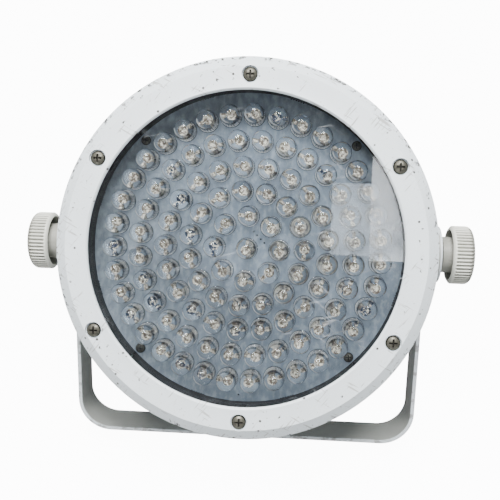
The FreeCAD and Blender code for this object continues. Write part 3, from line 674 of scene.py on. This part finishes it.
def add_piece(name, mesh, material, body, replaced=(), space=None, recalculate=True, sharp=35):
    """Turns a bmesh into a piece in its place, with its finish, its body and what it stands for."""
    if recalculate:
        bmesh.ops.recalc_face_normals(mesh, faces=mesh.faces)
    if space is not None:
        bmesh.ops.transform(mesh, matrix=space, verts=mesh.verts)
    if not mesh.faces:
        raise RuntimeError("%s has no faces" % name)
    data = bpy.data.meshes.new(name)
    mesh.to_mesh(data)
    mesh.free()
    data.polygons.foreach_set("use_smooth", [True] * len(data.polygons))
    data.set_sharp_from_angle(angle=math.radians(sharp))
    data.materials.append(material)
    piece = bpy.data.objects.new(name, data)
    bpy.context.scene.collection.objects.link(piece)
    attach(piece, body)
    if replaced:
        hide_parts(*replaced)
    return piece


def merged_copy(node):
    """A bmesh of a CAD node with its loose triangles joined."""
    mesh = bmesh.new()
    mesh.from_mesh(frame["nodes"][node].data)
    bmesh.ops.remove_doubles(mesh, verts=mesh.verts, dist=JOIN)
    return mesh


def body_of(node):
    """The moving body that a CAD node belongs to."""
    for body, members in frame["record"]["behaviour"]["bodies"].items():
        if node in members:
            return body
    raise KeyError(node)


def soften(node, name, width, material=None):
    """A copy of a CAD node with rounded edges and evened shading stands for the node."""
    mesh = merged_copy(node)
    bmesh.ops.dissolve_limit(mesh, angle_limit=math.radians(0.5), verts=mesh.verts, edges=mesh.edges)
    round_edges(mesh, width)
    slot = SLOTS[node]
    piece = add_piece(name, mesh, material or finish_for(slot), body_of(node), (node,),
                      recalculate=False)
    even = piece.modifiers.new("even_shading", "WEIGHTED_NORMAL")
    even.keep_sharp = True
    return piece


def carry(node):
    """A CAD node that stays as it is gets its finish."""
    data = frame["nodes"][node].data
    data.materials.clear()
    data.materials.append(finish_for(SLOTS[node]))


def add_block(mesh, centre, size, turn=Matrix.Identity(4)):
    """Adds a box of a given size about a centre."""
    place = Matrix.Translation(centre) @ turn @ Matrix.Diagonal((*size, 1))
    bmesh.ops.create_cube(mesh, size=1.0, matrix=place)


def repeat(mesh, places):
    """Copies all that is drawn so far to each place (a matrix), then deletes the first one."""
    template = list(mesh.verts) + list(mesh.edges) + list(mesh.faces)
    for place in places:
        made = bmesh.ops.duplicate(mesh, geom=template)["geom"]
        points = [item for item in made if isinstance(item, bmesh.types.BMVert)]
        bmesh.ops.transform(mesh, matrix=place, verts=points)
    points = [item for item in template if isinstance(item, bmesh.types.BMVert)]
    bmesh.ops.delete(mesh, geom=points, context="VERTS")


# ---------------------------------------------------------------- pieces


def led_places(node):
    """Centres of the LEDs of a ring, in the head's axes, from the middle of each separate solid."""
    mesh = merged_copy(node)
    back = HEAD.inverted()
    left = set(mesh.verts)
    places = []
    while left:
        found = {left.pop()}
        newest = set(found)
        while newest:
            near = {edge.other_vert(vert) for vert in newest for edge in vert.link_edges}
            newest = near - found
            found |= newest
        left -= found
        points = [back @ vert.co for vert in found]
        places.append(((min(p.x for p in points) + max(p.x for p in points)) / 2,
                       (min(p.z for p in points) + max(p.z for p in points)) / 2))
    mesh.free()
    return sorted(places, key=lambda place: math.atan2(place[1], place[0]))


def lens_mesh(places):
    """Clear epoxy bodies: flange, barrel and dome, closed at both ends."""
    mesh = bmesh.new()
    body = LED_FLANGE - FLANGE_REACH
    flange = BOARD_FRONT - FLANGE_DEPTH
    dome = LED_FRONT + body
    arc = [math.radians(15 * step) for step in range(6)]
    outline = [(0, BOARD_FRONT), (LED_FLANGE, BOARD_FRONT), (LED_FLANGE, flange + FLANGE_CUT),
               (LED_FLANGE - FLANGE_CUT, flange), (body, flange)]
    outline += [(body * math.cos(a), dome - body * math.sin(a)) for a in arc]
    outline.append((0, LED_FRONT))
    lathe(mesh, outline, steps=24)
    bmesh.ops.recalc_face_normals(mesh, faces=mesh.faces)
    led_map = mesh.loops.layers.uv.new("led")
    width = 2 * LED_FLANGE
    for face in mesh.faces:
        for loop in face.loops:
            loop[led_map].uv = (0.5 + loop.vert.co.x / width, 0.5 + loop.vert.co.z / width)
    repeat(mesh, [Matrix.Translation((x, 0, z)) for x, z in places])
    return mesh


def lead_frame_mesh(places, chance):
    """Anvil with its reflector cup, chip and the second post, inside each LED."""
    mesh = bmesh.new()
    flat = Matrix.Rotation(math.radians(90), 4, "X")
    cup_top = BOARD_FRONT - 7.2
    cup_depth = 1.7
    anvil = -0.45
    middle = Matrix.Translation((anvil, cup_top + cup_depth / 2, 0))
    cup = bmesh.ops.create_cone(mesh, cap_ends=True, segments=12, radius1=1.0, radius2=1.5,
                                depth=cup_depth, matrix=middle @ flat)
    mouth = min((face for vert in cup["verts"] for face in vert.link_faces),
                key=lambda face: face.calc_center_median().y)
    bmesh.ops.inset_individual(mesh, faces=[mouth], thickness=0.28, depth=0.0)
    bmesh.ops.inset_individual(mesh, faces=[mouth], thickness=0.45, depth=-0.5)
    chip_size = (0.42, 0.2, 0.42)
    add_block(mesh, (anvil, cup_top + 0.72, 0), chip_size)
    for x, width, front, thickness in ((anvil, 0.9, cup_top + 1.6, 0.5), (1.75, 0.7, cup_top + 1.0, 0.6)):
        add_block(mesh, (x, (front + BOARD_FRONT) / 2, 0), (width, BOARD_FRONT - front, thickness))
    post_head = (1.7, 1.3, 0.9)
    add_block(mesh, (1.95, cup_top + 0.9, 0), post_head)
    bond_wire = (2.1, 0.06, 0.06)
    add_block(mesh, (0.6, cup_top + 0.1, 0), bond_wire, Matrix.Rotation(0.12, 4, "Z"))
    bmesh.ops.recalc_face_normals(mesh, faces=mesh.faces)
    moves = []
    for x, z in places:
        quarter = math.radians(90) * chance.choice((1, 1, 1, 3))
        turn = math.atan2(z, x) + quarter + chance.uniform(-0.2, 0.2)
        moves.append(Matrix.Translation((x, 0, z)) @ Matrix.Rotation(-turn, 4, "Y"))
    repeat(mesh, moves)
    return mesh


def window_mesh():
    """Flat round disc with a rounded rim."""
    mesh = bmesh.new()
    radius = WINDOW[1].x
    front, back = WINDOW[0].y, WINDOW[1].y
    lathe(mesh, [(0, front), (radius, front), (radius, back), (0, back)], steps=160)
    round_edges(mesh, 0.35, 60)
    return mesh


def knob_mesh(shapes, side):
    """Hub, cavity and ribbed rim with a dished end; the ribs are pressed into a plain turned body."""
    start, end = KNOB[0].x, KNOB[1].x
    top = KNOB[1].z
    hub = 9.0
    cavity = 12.3
    rim_start = start + 3.9
    ribs_start = rim_start + 1.2
    ribs_fade = 0.7
    floor = end - 4.0
    curve = 3.0
    arc = [math.radians(15 * step) for step in range(7)]
    outline = [(0, start), (hub, start), (hub - 0.4, floor), (cavity - 0.1, floor),
               (cavity, rim_start + 0.5), (cavity + 0.3, rim_start), (cavity + 0.8, rim_start),
               (top - 0.25, rim_start + 0.8), (top, ribs_start), (top, rim_start + 1.6),
               (top, rim_start + 2.0), (top, rim_start + 4.0), (top, rim_start + 6.0)]
    outline += [(top + curve * (math.cos(a) - 1), end + curve * (math.sin(a) - 1)) for a in arc]
    outline += [(9.2, end), (8.6, end - 0.25), (8.2, end - 0.8), (6.0, end - 1.0), (0, end - 1.1)]
    mesh = bmesh.new()
    lathe(mesh, outline, steps=6 * shapes.ribs, axis="X")
    depth = shapes.rib_depth / MM
    for vert in mesh.verts:
        radius = math.hypot(vert.co.y, vert.co.z)
        if radius < top - 1.6 or vert.co.x < ribs_start:
            continue
        begin = min(1.0, (vert.co.x - ribs_start) / ribs_fade)
        phase = math.atan2(vert.co.z, vert.co.y) * shapes.ribs / 2
        groove = (1.0 - abs(math.sin(phase))) ** 0.75
        factor = 1.0 - depth * groove * begin / radius
        vert.co.y *= factor
        vert.co.z *= factor
    if side < 0:
        bmesh.ops.rotate(mesh, cent=(0, 0, 0), matrix=Matrix.Rotation(math.pi, 3, "Z"), verts=mesh.verts)
    return mesh


def segment_digits(mesh, low, high, count):
    """Rows of seven raised bars: the unlit digits of the display."""
    pitch = (high.x - low.x) / count
    width = 0.52 * pitch
    height = 0.72 * (high.z - low.z)
    middle_z = (low.z + high.z) / 2
    bar = 0.14 * width
    proud = 0.2
    for place in range(count):
        middle_x = low.x + (place + 0.5) * pitch
        bars = [(0, level * height / 2, width - bar, bar) for level in (-1, 0, 1)]
        bars += [(side * width / 2, level * height / 4, bar, height / 2 - bar)
                 for side in (-1, 1) for level in (-1, 1)]
        for x, z, across, up in bars:
            add_block(mesh, (middle_x + x, high.y + proud / 2, middle_z + z), (across, proud, up))


# ---------------------------------------------------------------- operators


class BuildOperator:
    """Shared settings of the building steps."""

    bl_options = {"REGISTER", "UNDO"}

    @property
    def shapes(self):
        """The sizes that the panel shows."""
        return bpy.context.scene.par_light_shapes


class PARLIGHT_OT_front_ring(BuildOperator, bpy.types.Operator):
    """Cast front ring with its six screws"""

    bl_idname = "par_light.front_ring"
    bl_label = "Front ring"

    def execute(self, context):
        soften("front_bezel", "front_ring", self.shapes.edge)
        soften("bezel_screws", "front_ring_screws", self.shapes.screw_edge)
        return {"FINISHED"}


class PARLIGHT_OT_window(BuildOperator, bpy.types.Operator):
    """Round window and its gasket"""

    bl_idname = "par_light.window"
    bl_label = "Window"

    def execute(self, context):
        add_piece("round_window", window_mesh(), finish_for("clear_window"), "head",
                  ("front_window",), HEAD, sharp=20)
        carry("window_gasket")
        return {"FINISHED"}


class PARLIGHT_OT_light_board(BuildOperator, bpy.types.Operator):
    """LED board, its black surround and its screws"""

    bl_idname = "par_light.light_board"
    bl_label = "Light board"

    def execute(self, context):
        carry("led_board")
        soften("board_carrier", "board_surround", self.shapes.fine_edge, finish_for("surround"))
        soften("board_screws", "light_board_screws", self.shapes.screw_edge)
        return {"FINISHED"}


class PARLIGHT_OT_leds(BuildOperator, bpy.types.Operator):
    """Clear LEDs with the lead frames inside them"""

    bl_idname = "par_light.leds"
    bl_label = "LEDs"

    def execute(self, context):
        chance = random.Random(self.shapes.seed)
        rings = ["led_centre"] + sorted(node for node in frame["nodes"] if node.startswith("led_ring_"))
        for node in rings:
            places = led_places(node)
            add_piece(node + "_lenses", lens_mesh(places), finish_for("led_epoxy"), "head",
                      (node,), HEAD, recalculate=False, sharp=50)
            add_piece(node + "_lead_frames", lead_frame_mesh(places, chance), finish_for("lead_frame"),
                      "head", (), HEAD, recalculate=False)
        return {"FINISHED"}


class PARLIGHT_OT_housing(BuildOperator, bpy.types.Operator):
    """Rear housing, safety eye, pivot inserts and pads"""

    bl_idname = "par_light.housing"
    bl_label = "Housing"

    def execute(self, context):
        soften("rear_housing", "back_shell", self.shapes.edge)
        soften("safety_eye", "safety_wire_eye", self.shapes.fine_edge)
        soften("eye_screws", "safety_eye_screws", self.shapes.screw_edge)
        carry("pivot_inserts")
        carry("pivot_pads")
        return {"FINISHED"}


class PARLIGHT_OT_rear_panel(BuildOperator, bpy.types.Operator):
    """Rear panel with display, buttons, sockets and fuse"""

    bl_idname = "par_light.rear_panel"
    bl_label = "Rear panel"

    def execute(self, context):
        fine = self.shapes.fine_edge
        for node in ("rear_panel", "signal_in_socket", "signal_out_socket", "signal_out_insert",
                     "signal_out_latch", "power_inlet", "fuse_holder", "fuse_cap", "inlet_pins"):
            soften(node, node + "_finished", fine)
        for node in ("panel_screws", "socket_screws", "inlet_screws"):
            soften(node, node + "_finished", self.shapes.screw_edge)
        for node in ("display_window", "signal_in_pins", "fuse", "menu_button_1", "menu_button_2",
                     "menu_button_3", "menu_button_4"):
            carry(node)
        low, high = corners("display_module", HEAD)
        mesh = bmesh.new()
        segment_digits(mesh, low, high, 4)
        add_piece("display_digits", mesh, finish_for("segments"), "head", (), HEAD)
        return {"FINISHED"}


class PARLIGHT_OT_electronics(BuildOperator, bpy.types.Operator):
    """Boards and parts inside the housing"""

    bl_idname = "par_light.electronics"
    bl_label = "Electronics"

    def execute(self, context):
        for node in ("power_board", "control_board", "board_spacers", "transformer", "mains_capacitor",
                     "bulk_capacitors", "heat_sink", "driver_transistors", "display_module",
                     "tact_switches", "led_ribbon"):
            carry(node)
        return {"FINISHED"}


class PARLIGHT_OT_yokes(BuildOperator, bpy.types.Operator):
    """Both bent yokes and the spacers between their ears"""

    bl_idname = "par_light.yokes"
    bl_label = "Yokes"

    def execute(self, context):
        edge = self.shapes.edge
        soften("inner_yoke", "inner_bracket", edge, finish_for("inner_bar"))
        soften("outer_yoke", "outer_bracket", edge, finish_for("outer_bar"))
        carry("ear_spacers")
        return {"FINISHED"}


class PARLIGHT_OT_knobs(BuildOperator, bpy.types.Operator):
    """Ribbed clamp knobs with their studs and washers"""

    bl_idname = "par_light.knobs"
    bl_label = "Knobs"

    def execute(self, context):
        for name, side in (("right_knob", 1), ("left_knob", -1)):
            add_piece(name + "_grip", knob_mesh(self.shapes, side), finish_for("knob_plastic"), name,
                      (name,), AXLE, sharp=50)
            carry(name + "_stud")
            carry(name + "_washer")
        return {"FINISHED"}


def area_light(name, place, size, power, colour, target):
    """Rectangular soft light. Place and target are millimetres in the head's axes."""
    data = bpy.data.lights.new(name, "AREA")
    data.shape = "RECTANGLE"
    data.size, data.size_y = size[0] * MM, size[1] * MM
    data.energy = power
    data.color = colour
    light = bpy.data.objects.new(name, data)
    bpy.context.scene.collection.objects.link(light)
    start = HEAD @ Vector(place)
    light.rotation_euler = (HEAD @ Vector(target) - start).to_track_quat("-Z", "Y").to_euler()
    light.location = start


def add_floor(scene):
    """Pale plane, reaching further behind the light than before it."""
    mesh = bmesh.new()
    bmesh.ops.create_grid(mesh, x_segments=1, y_segments=1, size=4.0,
                          matrix=Matrix.Translation((0, 1.0, 0)))
    data = bpy.data.meshes.new("floor")
    mesh.to_mesh(data)
    mesh.free()
    data.materials.append(studio_floor("studio_floor"))
    floor = bpy.data.objects.new("floor", data)
    scene.collection.objects.link(floor)


def add_room(scene):
    """Soft light from all round; where the camera sees the room it is as bright as the floor."""
    world = bpy.data.worlds.new("soft_room")
    world.use_nodes = True
    tree = world.node_tree
    soft = tree.nodes["Background"]
    wall = tree.nodes.new("ShaderNodeBackground")
    for node, colour, strength in ((soft, (0.90, 0.95, 1.0), 0.30), (wall, WHITE, FLOOR_GLOW)):
        node.inputs["Color"].default_value = (*colour, 1.0)
        node.inputs["Strength"].default_value = strength
    seen = tree.nodes.new("ShaderNodeLightPath")
    both = tree.nodes.new("ShaderNodeMixShader")
    tree.links.new(seen.outputs["Is Camera Ray"], both.inputs[0])
    tree.links.new(soft.outputs[0], both.inputs[1])
    tree.links.new(wall.outputs[0], both.inputs[2])
    tree.links.new(both.outputs[0], tree.nodes["World Output"].inputs["Surface"])
    scene.world = world


def add_camera(scene):
    """The camera, from its yaw, pitch and roll in the head's axes."""
    yaw, pitch, roll = CAMERA_YAW, CAMERA_PITCH, CAMERA_ROLL
    level = math.cos(pitch)
    forward = Vector((-math.sin(yaw) * level, math.cos(yaw) * level, math.sin(pitch)))
    flat_right = Vector((math.cos(yaw), math.sin(yaw), 0))
    flat_up = flat_right.cross(forward)
    right = flat_right * math.cos(roll) + flat_up * math.sin(roll)
    up = flat_up * math.cos(roll) - flat_right * math.sin(roll)
    turn = Matrix((right, up, -forward)).transposed()
    data = bpy.data.cameras.new("camera")
    data.lens = CAMERA_LENS
    data.clip_start = 0.01
    camera = bpy.data.objects.new("camera", data)
    upright = Matrix.Rotation(-TILT, 3, "X") @ turn
    camera.matrix_world = Matrix.Translation(HEAD @ CAMERA_PLACE) @ upright.to_4x4()
    scene.collection.objects.link(camera)
    scene.camera = camera


class PARLIGHT_OT_stage(BuildOperator, bpy.types.Operator):
    """Pale floor, soft light and the camera"""

    bl_idname = "par_light.stage"
    bl_label = "Stage"

    def execute(self, context):
        add_floor(context.scene)
        add_room(context.scene)
        for light in LIGHTS:
            area_light(*light)
        add_camera(context.scene)
        return {"FINISHED"}


OPERATORS = (
    PARLIGHT_OT_front_ring,
    PARLIGHT_OT_window,
    PARLIGHT_OT_light_board,
    PARLIGHT_OT_leds,
    PARLIGHT_OT_housing,
    PARLIGHT_OT_rear_panel,
    PARLIGHT_OT_electronics,
    PARLIGHT_OT_yokes,
    PARLIGHT_OT_knobs,
    PARLIGHT_OT_stage,
)


class PARLIGHT_PT_panel(bpy.types.Panel):
    """Lists the building steps with their sizes and colours"""

    bl_idname = "PARLIGHT_PT_panel"
    bl_label = "Par light"
    bl_space_type = "VIEW_3D"
    bl_region_type = "UI"
    bl_category = "Par Light"

    def draw(self, context):
        layout = self.layout
        for group in (context.scene.par_light_shapes, context.scene.par_light_colours):
            column = layout.column(align=True)
            for name in group.__annotations__:
                column.prop(group, name)
        column = layout.column(align=True)
        for operator in OPERATORS:
            column.operator(operator.bl_idname)


CLASSES = (ParLightShapes, ParLightColours, *OPERATORS, PARLIGHT_PT_panel)


def register():
    """Adds the classes and the two groups of settings."""
    for item in CLASSES:
        bpy.utils.register_class(item)
    bpy.types.Scene.par_light_shapes = PointerProperty(type=ParLightShapes)
    bpy.types.Scene.par_light_colours = PointerProperty(type=ParLightColours)


def unregister():
    """Takes them all away again."""
    del bpy.types.Scene.par_light_colours
    del bpy.types.Scene.par_light_shapes
    for item in reversed(CLASSES):
        bpy.utils.unregister_class(item)


def main():
    """Builds every piece and the stage."""
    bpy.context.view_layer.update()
    register()
    for operator in OPERATORS:
        group, step = operator.bl_idname.split(".")
        getattr(getattr(bpy.ops, group), step)()


if __name__ == "__main__":
    main()
